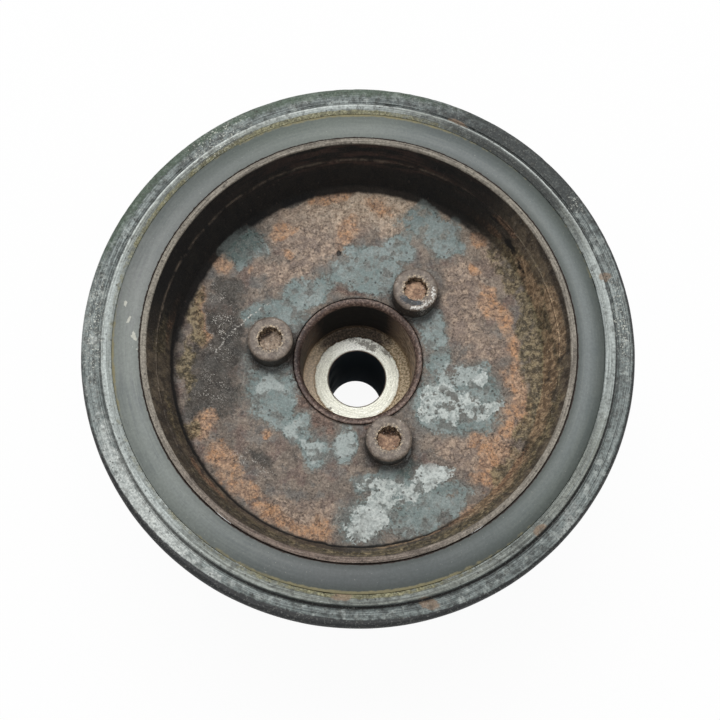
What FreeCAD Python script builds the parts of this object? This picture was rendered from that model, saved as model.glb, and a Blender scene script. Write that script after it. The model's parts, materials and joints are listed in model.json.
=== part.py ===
"""Damped belt pulley: a cast hub cup, a bonded rubber ring, a ribbed belt ring, and the nose hub
behind it, held by three socket-head bolts. The recess opens up, and the nose stands on z = 0."""
import FreeCAD, Part
import math
import os

V = FreeCAD.Vector

# Chords along each rounded corner of a turned outline
round_chords = 2

# Driving dimensions, in millimetres. Radii are from the pulley's axis, which is Z.

# Nose hub, behind the web, from its bore outwards
bore_radius = 8.75
bore_chamfer = 0.4
seat_width = 3.95
seat_relief_depth = 0.35
seat_depth = 25.0
pocket_margin = 3.4
pocket_foot_chamfer = 0.8
nose_wall = 3.5
nose_height = 50.0
nose_edge_chamfer = 0.8
flange_thickness = 12.5
flange_margin = 4.25
flange_edge_chamfer = 1.0
spigot_wall = 2.1
spigot_lip_fillet = 1.6
spigot_stand = 0.3
spigot_fit = 0.05

# Hub cup
web_thickness = 8.5
recess_depth = 23.0
wall_lean_deg = 9.5
floor_fillet = 2.5
ledge_depth = 8.6
ledge_width = 0.3
rim_radius = 58.6
rim_wall = 1.6
back_hollow_depth = 3.0
back_rim_wall = 6.0
back_pad_margin = 3.0
back_draft_deg = 12.0

# Rubber ring, bonded between cup and belt ring
rubber_thickness = 7.8
rubber_seam_depth = 0.55
rubber_seam_width = 0.35
rubber_front_drop = 0.6
rubber_crown = 0.22
rubber_outer_drop = 1.5
rubber_back_inset = 1.2
rubber_back_dish = 0.8

# Belt ring, from the rubber outwards
lip_drop = 0.8
lip_bevel = 1.3
lip_width = 1.5
step_depth = 1.5
step_lean = 0.35
step_groove_width = 0.8
step_groove_depth = 0.6
flange_face_width = 3.15
flange_edge_round = 1.5
front_wall = 3.1
rear_wall = 1.6
rear_wall_drop = 0.4
rear_edge_chamfer = 0.6

# Ribbed track
rib_count = 6
rib_pitch = 3.56
rib_drop = 1.8
rib_tip_width = 0.95
groove_angle_deg = 40.0

# Socket-head bolts, M8
bolt_count = 3
bolt_first_angle_deg = 49.7
bolt_head_radius = 6.5
bolt_head_height = 8.0
bolt_head_chamfer = 0.7
bolt_head_gap = 0.15
bolt_shank_radius = 4.0
bolt_shank_length = 20.0
bolt_tip_chamfer = 1.0
bolt_hole_clearance = 0.5
thread_clearance = 0.05
socket_point_radius = 3.9
socket_points = 12
socket_depth = 5.0

# Radii that follow from the driving dimensions
seat_radius = bore_radius + bore_chamfer + seat_width
pocket_radius = seat_radius + pocket_margin
nose_radius = pocket_radius + nose_wall
spigot_radius = pocket_radius + spigot_wall
bolt_circle_radius = spigot_radius + bolt_head_gap + bolt_head_radius
flange_radius = bolt_circle_radius + bolt_shank_radius + flange_margin
mouth_radius = rim_radius - rim_wall
rubber_outer_radius = rim_radius + rubber_thickness
lip_inner_radius = rubber_outer_radius + lip_bevel
lip_outer_radius = lip_inner_radius + lip_width
step_foot_radius = lip_outer_radius + step_lean
flange_face_radius = step_foot_radius + step_groove_width
ring_radius = flange_face_radius + flange_face_width + flange_edge_round
rear_wall_radius = ring_radius - rear_wall_drop
rib_tip_radius = ring_radius - rib_drop

# Heights that follow from the driving dimensions
flange_top = nose_height + flange_thickness
floor_height = flange_top + web_thickness
seat_height = floor_height - seat_depth
rim_height = floor_height + recess_depth
lip_height = rim_height - lip_drop
face_height = lip_height - step_depth
track_top = face_height - front_wall
track_bottom = track_top - rib_count * rib_pitch
ring_back = track_bottom - rear_wall
rubber_back = ring_back + rubber_back_inset
rubber_outer_top = rim_height - rubber_outer_drop


def revolve(edges):
    """Turns a closed outline in the XZ plane once round the axis."""
    face = Part.Face(Part.Wire(edges))
    return face.revolve(V(0, 0, 0), V(0, 0, 1), 360)


def outline(points):
    """Straight edges through (radius, height) points, closed back to the first."""
    vectors = [V(radius, 0, height) for radius, height in points]
    return [Part.LineSegment(a, b).toShape() for a, b in zip(vectors, vectors[1:] + vectors[:1])]


def rounded_outline(corners):
    """Closed outline of (radius, height, round) corners, each rounded by chords of its circle."""
    points = []
    for i, corner in enumerate(corners):
        points += round_corner(corners[i - 1], corner, corners[(i + 1) % len(corners)])
    return outline(points)


def round_corner(before, corner, after):
    """Points on the circle that rounds a corner, or the bare corner where its round is 0."""
    point = V(corner[0], 0, corner[1])
    radius = corner[2]
    if radius == 0:
        return [(point.x, point.z)]
    to_before = V(before[0], 0, before[1]).sub(point).normalize()
    to_after = V(after[0], 0, after[1]).sub(point).normalize()
    half = to_before.getAngle(to_after) / 2
    bisector = to_before.add(to_after).normalize()
    centre = point.add(bisector.multiply(radius / math.sin(half)))
    start = point.add(to_before.multiply(radius / math.tan(half))).sub(centre)
    end = point.add(to_after.multiply(radius / math.tan(half))).sub(centre)
    sweep = start.getAngle(end)
    points = []
    for i in range(round_chords + 1):
        share = i * sweep / round_chords
        spoke = start * math.sin(sweep - share) + end * math.sin(share)
        place = centre.add(spoke * (1 / math.sin(sweep)))
        points.append((place.x, place.z))
    return points


def bolt_places():
    """Angle and centre of each bolt on its circle."""
    places = []
    for i in range(bolt_count):
        angle = math.radians(bolt_first_angle_deg + i * 360.0 / bolt_count)
        centre = V(bolt_circle_radius * math.cos(angle), bolt_circle_radius * math.sin(angle), 0)
        places.append((angle, centre))
    return places


def drill(body, hole_radius, bottom, top):
    """Cuts a hole on each bolt's axis, from one height to another."""
    for _, centre in bolt_places():
        start = V(centre.x, centre.y, bottom)
        body = body.cut(Part.makeCylinder(hole_radius, top - bottom, start))
    return body


def nose_hub():
    """Sleeve, flange and centring spigot, with the bolt's seat deep in its pocket."""
    lip_top = floor_height + spigot_stand
    relief = seat_height - seat_relief_depth
    corners = [
        (bore_radius, bore_chamfer, 0),
        (bore_radius + bore_chamfer, 0, 0),
        (nose_radius - nose_edge_chamfer, 0, 0),
        (nose_radius, nose_edge_chamfer, 0),
        (nose_radius, nose_height, 0),
        (flange_radius - flange_edge_chamfer, nose_height, 0),
        (flange_radius, nose_height + flange_edge_chamfer, 0),
        (flange_radius, flange_top - flange_edge_chamfer, 0),
        (flange_radius - flange_edge_chamfer, flange_top, 0),
        (spigot_radius, flange_top, 0),
        (spigot_radius, lip_top, 0),
        (pocket_radius, lip_top, spigot_lip_fillet),
        (pocket_radius, relief + pocket_foot_chamfer, 0),
        (pocket_radius - pocket_foot_chamfer, relief, 0),
        (seat_radius + seat_relief_depth, relief, 0),
        (seat_radius, seat_height, 0),
        (bore_radius + bore_chamfer, seat_height, 0),
        (bore_radius, seat_height - bore_chamfer, 0),
    ]
    body = revolve(rounded_outline(corners))
    return drill(body, bolt_shank_radius + thread_clearance, nose_height, flange_top)


def hub_cup():
    """Cast cup: thin rim, leaning recess wall with a turned ledge, flat web, hollow back."""
    lean = math.tan(math.radians(wall_lean_deg))
    ledge_height = rim_height - ledge_depth
    ledge_radius = mouth_radius - ledge_depth * lean
    lower_radius = ledge_radius - ledge_width
    floor_radius = lower_radius - (ledge_height - floor_height) * lean
    pad_radius = flange_radius + back_pad_margin
    hollow_top = flange_top + back_hollow_depth
    hollow_outer = rim_radius - back_rim_wall
    back_lean = back_hollow_depth * math.tan(math.radians(back_draft_deg))
    web_hole = spigot_radius + spigot_fit
    corners = [
        (web_hole, flange_top, 0),
        (pad_radius, flange_top, 0),
        (pad_radius + back_lean, hollow_top, 0),
        (hollow_outer - back_lean, hollow_top, 0),
        (hollow_outer, flange_top, 0),
        (rim_radius, flange_top, 0),
        (rim_radius, rim_height, 0),
        (mouth_radius, rim_height, 0),
        (ledge_radius, ledge_height, 0),
        (lower_radius, ledge_height - ledge_width, 0),
        (floor_radius, floor_height, floor_fillet),
        (web_hole, floor_height, 0),
    ]
    body = revolve(rounded_outline(corners))
    return drill(body, bolt_shank_radius + bolt_hole_clearance, flange_top, floor_height)


def rubber_ring():
    """Bonded ring with a crowned front, a thin seam at the cup and a dished back."""
    middle_radius = (rim_radius + rubber_outer_radius) / 2
    shoulder_height = rim_height - rubber_front_drop
    crown_height = (shoulder_height + rubber_outer_top) / 2 + rubber_crown
    points = [
        (rim_radius, shoulder_height - rubber_seam_depth),
        (rim_radius + rubber_seam_width, shoulder_height),
        (middle_radius, crown_height),
        (rubber_outer_radius, rubber_outer_top),
        (rubber_outer_radius, rubber_back),
        (middle_radius, rubber_back + rubber_back_dish),
        (rim_radius, rubber_back),
    ]
    return revolve(outline(points))


def belt_grooves():
    """Corners of each V groove in turn from the front. The end flanks run out to the two walls."""
    slope = math.tan(math.radians(groove_angle_deg / 2))
    foot_radius = rib_tip_radius - (rib_pitch - rib_tip_width) / 2 / slope
    edges = [ring_radius] + [rib_tip_radius] * (rib_count - 1) + [rear_wall_radius]
    corners = []
    for i in range(rib_count):
        centre = track_top - (i + 0.5) * rib_pitch
        corners += [
            (edges[i], centre + (edges[i] - foot_radius) * slope, 0),
            (foot_radius, centre, 0),
            (edges[i + 1], centre - (edges[i + 1] - foot_radius) * slope, 0),
        ]
    return corners


def belt_ring():
    """Inertia ring: worn lip, turned relief, flange face with a rounded edge, ribbed track."""
    relief_floor = face_height - step_groove_depth
    front = [
        (rubber_outer_radius, rubber_outer_top, 0),
        (lip_inner_radius, lip_height, 0),
        (lip_outer_radius, lip_height, 0),
        (step_foot_radius, relief_floor, 0),
        (flange_face_radius, relief_floor, 0),
        (flange_face_radius, face_height, 0),
        (ring_radius, face_height, flange_edge_round),
    ]
    back = [
        (rear_wall_radius, ring_back + rear_edge_chamfer, 0),
        (rear_wall_radius - rear_edge_chamfer, ring_back, 0),
        (rubber_outer_radius, ring_back, 0),
    ]
    return revolve(rounded_outline(front + belt_grooves() + back))


def socket_star(radius, height):
    """Outline of three squares turned through each other, the bolt socket's section."""
    notch = radius * math.cos(math.pi / 4) / math.cos(math.pi / socket_points)
    points = []
    for i in range(2 * socket_points):
        reach = radius if i % 2 == 0 else notch
        angle = i * math.pi / socket_points
        points.append(V(reach * math.cos(angle), reach * math.sin(angle), height))
    return Part.makePolygon(points + points[:1])


def bolt_blank():
    """Turned bolt on the Z axis, its head's seat at z = 0."""
    points = [
        (0, bolt_head_height),
        (bolt_head_radius - bolt_head_chamfer, bolt_head_height),
        (bolt_head_radius, bolt_head_height - bolt_head_chamfer),
        (bolt_head_radius, 0),
        (bolt_shank_radius, 0),
        (bolt_shank_radius, bolt_tip_chamfer - bolt_shank_length),
        (bolt_shank_radius - bolt_tip_chamfer, -bolt_shank_length),
        (0, -bolt_shank_length),
    ]
    return revolve(outline(points))


def socket():
    """Star-shaped pocket sunk into the bolt's head."""
    star = Part.Face(socket_star(socket_point_radius, bolt_head_height - socket_depth))
    return star.extrude(V(0, 0, socket_depth))


def bolt(angle, centre):
    """One bolt, standing on the web's floor and turned with its place on the circle."""
    body = bolt_blank().cut(socket())
    body.rotate(V(0, 0, 0), V(0, 0, 1), math.degrees(angle))
    body.translate(V(centre.x, centre.y, floor_height))
    return body


def nodes():
    """Every piece of the pulley by name."""
    pieces = {
        "nose_hub": nose_hub(),
        "hub_cup": hub_cup(),
        "rubber_ring": rubber_ring(),
        "belt_ring": belt_ring(),
    }
    for i, (angle, centre) in enumerate(bolt_places()):
        pieces["bolt_%d" % (i + 1)] = bolt(angle, centre)
    return pieces


os.makedirs("parts", exist_ok=True)
for name, shape in nodes().items():
    shape.exportStep("parts/%s.step" % name)
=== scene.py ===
import json
import math

import bmesh
import bpy
import numpy as np
from mathutils import Matrix, Vector, noise


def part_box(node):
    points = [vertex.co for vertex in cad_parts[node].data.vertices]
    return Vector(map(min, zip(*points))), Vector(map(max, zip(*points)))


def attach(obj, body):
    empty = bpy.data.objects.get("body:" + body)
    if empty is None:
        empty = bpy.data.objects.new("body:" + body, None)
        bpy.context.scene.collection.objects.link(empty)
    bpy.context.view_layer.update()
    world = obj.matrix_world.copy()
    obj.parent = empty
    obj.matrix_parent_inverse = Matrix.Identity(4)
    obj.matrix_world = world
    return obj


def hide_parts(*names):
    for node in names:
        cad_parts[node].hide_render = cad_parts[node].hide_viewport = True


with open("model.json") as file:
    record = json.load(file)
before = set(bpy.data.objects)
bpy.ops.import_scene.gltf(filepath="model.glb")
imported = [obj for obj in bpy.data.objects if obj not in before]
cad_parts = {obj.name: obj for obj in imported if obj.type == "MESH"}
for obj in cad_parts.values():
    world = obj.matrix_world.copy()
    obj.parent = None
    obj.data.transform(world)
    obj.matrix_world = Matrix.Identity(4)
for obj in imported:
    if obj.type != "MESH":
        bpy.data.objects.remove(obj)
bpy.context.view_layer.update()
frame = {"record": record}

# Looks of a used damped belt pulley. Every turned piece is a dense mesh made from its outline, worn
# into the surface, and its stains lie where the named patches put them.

MM = 0.001

# Sizes from the frame, in millimetres
cup_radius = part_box("hub_cup")[1].x / MM
cup_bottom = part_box("hub_cup")[0].z / MM
rim_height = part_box("hub_cup")[1].z / MM
flange_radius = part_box("nose_hub")[1].x / MM
lip_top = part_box("nose_hub")[1].z / MM
rubber_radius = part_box("rubber_ring")[1].x / MM
rubber_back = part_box("rubber_ring")[0].z / MM
rubber_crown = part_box("rubber_ring")[1].z / MM
ring_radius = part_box("belt_ring")[1].x / MM
ring_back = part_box("belt_ring")[0].z / MM
lip_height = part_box("belt_ring")[1].z / MM
bolt_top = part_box("bolt_1")[1].z / MM
bolt_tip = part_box("bolt_1")[0].z / MM
mounts = {mount["name"]: mount for mount in frame["record"]["mounts"]}
bore_radius = mounts["bolt_bore"]["dims"]["r_mm"]
pocket_radius = mounts["seat_pocket"]["dims"]["r_mm"]
seat_height = mounts["bolt_seat"]["pos_m"][2] / MM

# Sizes of the forms between those, in millimetres
spigot_stand = 0.3
floor_height = lip_top - spigot_stand
nose_height = 50.0
nose_radius = 20.0
nose_bevel = 0.8
flange_bevel = 1.0
spigot_radius = 18.6
spigot_fit = 0.05
lip_round = 1.6
seat_radius = 13.1
seat_relief = 0.35
bore_bevel = 0.4
mouth_radius = cup_radius - 1.6
wall_slope = math.tan(math.radians(9.5))
floor_round = 2.5
ledge_depth = 8.6
ledge_width = 0.3
back_hollow = 3.0
back_pad_margin = 3.0
back_rim_wall = 6.0
back_slope = math.tan(math.radians(12.0))
rubber_front_drop = 0.6
rubber_seam_depth = 0.55
rubber_seam_width = 0.35
rubber_outer_drop = 1.5
rubber_back_dish = 0.8
lip_bevel = 1.3
lip_width = 1.5
step_depth = 1.5
step_lean = 0.35
relief_width = 0.8
relief_depth = 0.6
flange_edge_round = 1.5
front_wall = 3.1
rib_count = 6
rib_pitch = 3.56
rib_drop = 1.8
rib_tip_width = 0.95
groove_slope = math.tan(math.radians(20.0))
rear_wall_drop = 0.4
rear_bevel = 0.6
head_radius = 6.5
head_round = 1.1
shank_radius = 4.0
tip_bevel = 1.0
socket_radius = 3.45
socket_depth = 3.6
thread_pitch = 1.25
thread_depth = 0.5
web_hole = 4.5
thread_hole = 4.05
edge_break = 0.25


# Outlines and meshes

def round_corner(before, corner, after, arc_step):
    """Points on the arc that rounds a corner, or the bare corner where its round is 0."""
    point = np.array(corner[:2])
    to_before = np.array(before[:2]) - point
    to_after = np.array(after[:2]) - point
    to_before /= np.linalg.norm(to_before)
    to_after /= np.linalg.norm(to_after)
    half = math.acos(np.clip(to_before @ to_after, -1, 1)) / 2
    radius = corner[2]
    if radius == 0:
        return [point]
    middle = to_before + to_after
    centre = point + middle / np.linalg.norm(middle) * radius / math.sin(half)
    start = point + to_before * radius / math.tan(half) - centre
    end = point + to_after * radius / math.tan(half) - centre
    sweep = math.pi - 2 * half
    count = max(2, math.ceil(sweep * radius / arc_step))
    shares = np.arange(count + 1) / count
    return [centre + (start * math.sin((1 - s) * sweep) + end * math.sin(s * sweep)) / math.sin(sweep)
            for s in shares]


def outline(corners, step, closed=True, fine_from=-math.inf):
    """Points no further than step apart along an outline of (radius, height, round) corners, or three
    steps where a straight stretch reaches below the height fine_from."""
    points = []
    for i, corner in enumerate(corners):
        after = corners[(i + 1) % len(corners)]
        points += round_corner(corners[i - 1], corner, after, step / 2)
    ends = points[1:] + points[:1] if closed else points[1:]
    path = []
    for start, end in zip(points, ends):
        longest = step if min(start[1], end[1]) > fine_from else 3 * step
        count = max(1, math.ceil(np.linalg.norm(end - start) / longest - 1e-6))
        path += [start + (end - start) * i / count for i in range(count)]
    if not closed:
        path.append(points[-1])
    return np.array(path)


def grid_faces(rings, segments, closed):
    """Quads over rings of points, each ring closed on itself."""
    i = np.arange(rings if closed else rings - 1)[:, None]
    j = np.arange(segments)[None, :]
    after_i = (i + 1) % rings
    after_j = (j + 1) % segments
    corners = [i * segments + j, i * segments + after_j, after_i * segments + after_j, after_i * segments + j]
    return np.stack([np.broadcast_to(c, (len(i), segments)) for c in corners], axis=-1).reshape(-1, 4)


def turned(name, path, segments, relief=None, closed=True):
    """A mesh of the outline turned once round the axis. relief(points) is how deep each point is worn."""
    along = np.gradient(path, axis=0)
    if closed:
        along = np.roll(path, -1, axis=0) - np.roll(path, 1, axis=0)
    outward = np.stack([along[:, 1], -along[:, 0]], axis=1)
    outward /= np.linalg.norm(outward, axis=1)[:, None]
    angles = np.arange(segments) * math.tau / segments
    turn = np.stack([np.cos(angles), np.sin(angles)], axis=1)

    def sweep(flat):
        spread = np.empty((len(flat), segments, 3))
        spread[:, :, :2] = flat[:, None, :1] * turn[None]
        spread[:, :, 2] = flat[:, None, 1]
        return spread.reshape(-1, 3)

    points = sweep(path)
    if relief is not None:
        points = points - sweep(outward) * relief(points)[:, None]
    return mesh_piece(name, points, grid_faces(len(path), segments, closed))


def mesh_piece(name, points, faces):
    """An object of smooth faces from points in millimetres, points that meet joined."""
    mesh = bpy.data.meshes.new(name)
    mesh.from_pydata((points * MM).tolist(), [], faces.tolist())
    shell = bmesh.new()
    shell.from_mesh(mesh)
    bmesh.ops.remove_doubles(shell, verts=shell.verts, dist=2e-7)
    shell.to_mesh(mesh)
    shell.free()
    mesh.shade_smooth()
    piece = bpy.data.objects.new(name, mesh)
    bpy.context.collection.objects.link(piece)
    return piece


def drilled(piece, radius, bottom, top):
    """Cuts a hole on each bolt's axis, from one height to another."""
    path = outline([(0, bottom, 0), (radius, bottom, 0), (radius, top, 0), (0, top, 0)], 2.0, closed=False)
    for centre in bolt_centres:
        cutter = turned("cutter", path, 48, closed=False)
        cutter.data.transform(Matrix.Translation(Vector((centre.x, centre.y, 0)) * MM))
        cut = piece.modifiers.new("drill", "BOOLEAN")
        cut.operation = "DIFFERENCE"
        cut.solver = "EXACT"
        cut.object = cutter
        cut_piece = piece.evaluated_get(bpy.context.evaluated_depsgraph_get())
        cut_mesh = bpy.data.meshes.new_from_object(cut_piece)
        piece.modifiers.remove(cut)
        piece.data = cut_mesh
        bpy.data.objects.remove(cutter)


def places(piece):
    """Vertex positions in millimetres."""
    flat = np.empty(len(piece.data.vertices) * 3)
    piece.data.vertices.foreach_get("co", flat)
    return flat.reshape(-1, 3) / MM


def store(piece, **fields):
    """Stores named numbers, one of each for every vertex, for the material to read."""
    for name, values in fields.items():
        layer = piece.data.attributes.new(name, "FLOAT", "POINT")
        layer.data.foreach_set("value", np.asarray(values, dtype=np.float32))


def rough(points, size, octaves=4, seed=0):
    """Fractal noise, about -1 to 1, whose largest features are size millimetres across."""
    shift = Vector((seed * 17.3, seed * -9.1, seed * 5.7))
    scaled = points / size
    return np.array([noise.fractal(Vector(p) + shift, 0.9, 2.0, octaves) for p in scaled])


def ramp(values, low, high):
    """0 below low, 1 above high, smooth between."""
    share = np.clip((values - low) / (high - low), 0, 1)
    return share * share * (3 - 2 * share)


def spots(across, up, patches):
    """How far inside the nearest (x, y, half width, half height, turn in degrees, if any) patch:
    1 well inside, 0.5 on its edge, 0 well outside."""
    best = np.zeros(len(across))
    for x, y, width, height, *turn in patches:
        c, s = math.cos(math.radians(sum(turn))), math.sin(math.radians(sum(turn)))
        u = ((across - x) * c + (up - y) * s) / width
        v = ((up - y) * c - (across - x) * s) / height
        best = np.maximum(best, 1.5 - np.hypot(u, v))
    return np.clip(best, 0, 1)


def arcs(points, stretches):
    """Sum of soft stretches round the axis, each (degrees from +X, half width in degrees, amount)."""
    angles = np.degrees(np.arctan2(points[:, 1], points[:, 0]))
    total = np.zeros(len(points))
    for middle, width, amount in stretches:
        off = (angles - middle + 180) % 360 - 180
        total += amount * np.exp(-(off / width) ** 2)
    return total


def around(points, stretches, base=0.0):
    """A base and the soft stretches over it, from 0 to 1."""
    return np.clip(base + arcs(points, stretches), 0, 1)


def circle_through(a, b, c):
    """The circle through three points, as (x, y, radius)."""
    sides = np.subtract([b, c], [a, b])
    halfway = np.add([b, c], [a, b]) / 2
    centre = np.linalg.solve(sides, (sides * halfway).sum(axis=1))
    return float(centre[0]), float(centre[1]), math.dist(centre, a)


def radii(points):
    """Distance of each point from the axis."""
    return np.hypot(points[:, 0], points[:, 1])


# Bolts' places, from their nodes
bolt_names = ["bolt_1", "bolt_2", "bolt_3"]
bolt_centres = [(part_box(name)[0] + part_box(name)[1]) / 2 / MM for name in bolt_names]


# Hub cup

# Stains on the floor, each (x, y, half width, half height, turn in degrees, if any); among the dark ones,
# those by the north-west wall are painted shadow
floor_patches = {
    "paint": [
        (-27, 15, 6, 3.5, 20), (-21, 13.5, 6, 5, 20), (-14, 21, 8, 4.5, 25), (-2, 27, 9, 4.5, 5),
        (7, 26, 6, 7), (4, 32, 10, 2.8, 5), (4, 22, 7, 2), (13, 36, 4, 5, 20), (18, 41, 6.5, 4, -20),
        (25, 38, 6, 4.5, -30), (21, 45, 4, 2, -20), (27, 34, 5, 2.5, -30), (-33, 34, 6, 5, 35),
        (-25.5, -7, 7, 10, 5), (-22, -14, 4.5, 5), (-17, -20, 5, 4, -20), (-12, -26, 4, 5, 20),
        (-4, -25, 3, 5.5, -10), (21, 10, 3.5, 8, 10), (23, 0, 3.5, 5), (18, 15, 3, 4),
        (24, -12, 9, 8, 10), (33, -8, 7, 6), (33, -17, 7, 5, 10), (10, -32, 6, 2.5, 10),
        (5, -35, 5, 3), (3, -46, 8, 6, 10), (14, -38, 9, 5, 20), (24, -40, 7, 6, 30),
        (15, -46, 8, 4, 10)],
    "pale": [
        (24, -11, 5.5, 4.4, 15), (29, -14, 8, 4.2), (34, -6, 4, 1.6, 20), (37, -14, 3.6, 2.4),
        (20, -14, 3.4, 2.6, 30), (3, -46.5, 7, 5.6, 15), (7, -40.5, 4, 4, -20),
        (9, -36.5, 5, 2.2, -15), (4, -35, 3, 1.6, 10), (14, -38, 3.4, 2.4, 40),
        (21, -33.5, 6, 2.8, 22), (16.5, -33.5, 2.2, 1.6), (14.5, -27, 1, 2.6, -20)],
    "frost": [
        (-26, -7, 3.5, 3), (29, -5, 7, 2.6, 10), (3, -46.5, 6, 5, 15), (21, -33.5, 4.5, 2.2, 22),
        (-18, -20, 3.4, 2.8, -20), (-12.5, -25, 2.6, 4, 20), (-4, -24, 2.4, 4.4), (3, -30, 3, 2)],
    "rust": [
        (46, -8, 4, 9), (45, 4, 3, 5, 10), (41, 13, 3.2, 5, 20), (38, 19, 2.5, 4, 20),
        (42, -18, 3, 5, 10), (39, -27, 4.5, 5, 20), (35, -34, 4.5, 3.5, -20), (30, -42, 6, 2.6, -30),
        (-13, -48, 8, 3, -8), (-23, -44, 6, 2.6, -22), (-31, -37, 5, 3, -40), (-38, -29, 3.6, 5, 30),
        (-44, -19, 4, 4.5, 20), (-40, 30, 4, 3, 10), (-22, 40, 3.5, 3), (-46, 17, 1.5, 4),
        (33, 26, 1.8, 1.8), (-27, -21, 1.8, 1.4), (-29, 26, 1.5, 1.2), (-3, 38, 3, 5.5),
        (-20, 32, 2, 2), (6, 47, 5, 3), (-8, 49, 6, 2, 8), (33, -24, 2, 2), (36, 36, 2, 3, -30),
        (-45.5, 11, 1.7, 7), (46.5, -13, 2.8, 5)],
    "tan": [
        (-16, 37, 9, 7), (-4, 40, 5, 9), (-12, 47, 13, 4, 8), (6, 47, 10, 5), (10, 41, 4, 4),
        (-20, 27, 8, 4, 10), (41, 33, 5, 5), (31, 14, 7, 9), (37, 2, 6, 5), (-9, 33, 6, 4),
        (-46, 10, 3.5, 10), (-8, 14, 5, 2), (40, -22, 8, 8), (-15, -44, 12, 5, -10), (31, 24, 6, 5),
        (30, -26, 8, 4, -20)],
    "olive": [
        (-47, 12, 2.6, 9), (-48.5, -2, 2, 8), (43, 33, 5, 4, -38), (49.5, 8, 3.4, 14, 5),
        (49, -17, 3, 10, -20), (-47, -20, 2, 5, -20), (40, -34, 2.5, 6, -40), (46, 24, 3.5, 6, 30)],
    # Dark dirt, but the dark patches by the north-west wall are painted shadow
    "dark": [
        (-40, 8, 6, 13), (-41, -11, 5, 8), (-34, 36, 7, 6, 35), (-37, 22, 5, 5), (-20, 50, 12, 2, 15),
        (-47, -10, 2.5, 9), (-33, 43, 8, 3, 40), (-27, -27, 4, 2.5, -30), (14, -31, 4, 2),
        (-37, 6, 5, 13), (-40, -10, 7, 8), (-44, -12, 3, 7), (-45, 2, 3.5, 8), (-42, -4, 5, 10)],
    "red": [
        (-19, -6, 3, 6, 15), (-20, 3, 2.2, 5), (-16, -13, 3, 3, 40), (18.5, -8, 2.2, 5, 20),
        (17, 10, 2, 4, -30), (0, 20, 9, 1.6), (-10, -17, 5, 2, -30), (5, -19.5, 4, 1.5)],
    "fleck": [
        (-40, 10, 4, 12), (-41, -8, 3.5, 6), (-30, -29, 5, 3, -20)],
}
# A thin pale scratch through three points
scratch = [(-41.5, 2.0), (-34.0, 10.5), (-26.0, 17.0)]
hole_patches = [(-5.6, 32.4, 0.7, 0.8)]
# On the wall: degrees from +X, height above the floor, half width in degrees, half height, turn
wall_patches = {
    "rust": [
        (70, 15, 12, 3), (96, 13, 9, 2.5), (52, 6, 12, 2.6), (40, 13, 7, 1.6), (-38, 4, 12, 3),
        (-60, 3, 10, 2.5), (-140, 8, 10, 3), (168, 6, 8, 3)],
    "olive": [
        (5, 7, 24, 9), (-25, 10, 20, 9), (-70, 15, 34, 6), (-125, 14, 24, 6), (180, 12, 14, 5),
        (-160, 6, 10, 6), (30, 5, 10, 5), (-45, 6, 14, 5)],
    "tan": [
        (-45, 4, 18, 8), (-10, 5, 18, 8), (8, 14, 12, 5), (-75, 3, 12, 3), (22, 6, 10, 5)],
    "dark": [
        (-135, 16, 26, 8), (165, 17, 16, 6), (-160, 4, 14, 4), (15, 21, 20, 2), (-100, 6, 12, 3)],
}
wall_blot_patches = [(37, 8, 4.5, 2.2, 20), (30, 5, 3, 1.4), (46, 12, 7, 1.4, 10), (53, 15, 8, 1.2, 5)]
# Stains run down the wall: heights above the floor count as this share in its noise
wall_squeeze = 0.35
# Degrees from +X, half width in degrees, how black. The foot's black is painted shade in the corner at the
# wall's foot; the black up the wall and on the floor by it is dark dirt and painted shade
foot_stretches = [(215, 50, 0.75), (275, 32, 0.8)]
black_stretches = [(90, 38, 1.15), (130, 32, 1.1), (165, 18, 0.35), (50, 16, 0.35), (200, 20, 0.2)]


def cup_corners():
    """Cast cup: web floor, leaning wall with a turned ledge, thin rim, hollow back."""
    ledge_height = rim_height - ledge_depth
    ledge_radius = mouth_radius - ledge_depth * wall_slope
    floor_radius = ledge_radius - ledge_width - (ledge_height - floor_height) * wall_slope
    pad_radius = flange_radius + back_pad_margin
    hollow_radius = cup_radius - back_rim_wall
    back_lean = back_hollow * back_slope
    return [
        (spigot_radius + spigot_fit, cup_bottom, 0),
        (pad_radius, cup_bottom, edge_break),
        (pad_radius + back_lean, cup_bottom + back_hollow, 1.0),
        (hollow_radius - back_lean, cup_bottom + back_hollow, 1.0),
        (hollow_radius, cup_bottom, edge_break),
        (cup_radius, cup_bottom, 0.6),
        (cup_radius, rim_height, edge_break),
        (mouth_radius, rim_height, 0.35),
        (ledge_radius, ledge_height, 0.1),
        (ledge_radius - ledge_width, ledge_height - ledge_width, 0.1),
        (floor_radius, floor_height, floor_round),
        (spigot_radius + spigot_fit, floor_height, 0.06),
    ]


def on_floor(points):
    """1 on the web's floor, 0 on the wall above its round and behind."""
    inside = ramp(points[:, 2], floor_height - 0.8, floor_height - 0.6)
    return inside * (1 - ramp(points[:, 2], floor_height + 0.4, floor_height + 1.6))


def cup_relief(points):
    """Pitted casting, rougher where it has rusted and on the wall, smooth on the turned rim."""
    low = points * (1, 1, wall_squeeze) + (0, 0, floor_height * (1 - wall_squeeze))
    coarse = rough(low, 7.0, 5, seed=1)
    fine = rough(low, 2.0, 3, seed=2)
    scabs = ramp(rough(low, 4.0, 5, seed=31), 0.1, 0.35)
    turned_rim = ramp(points[:, 2], rim_height - 1.2, rim_height - 0.6)
    depth = 0.22 + 0.10 * coarse + 0.07 * fine - 0.14 * scabs
    return np.clip(depth, 0, 0.45) * (1 - 0.85 * turned_rim)


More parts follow.
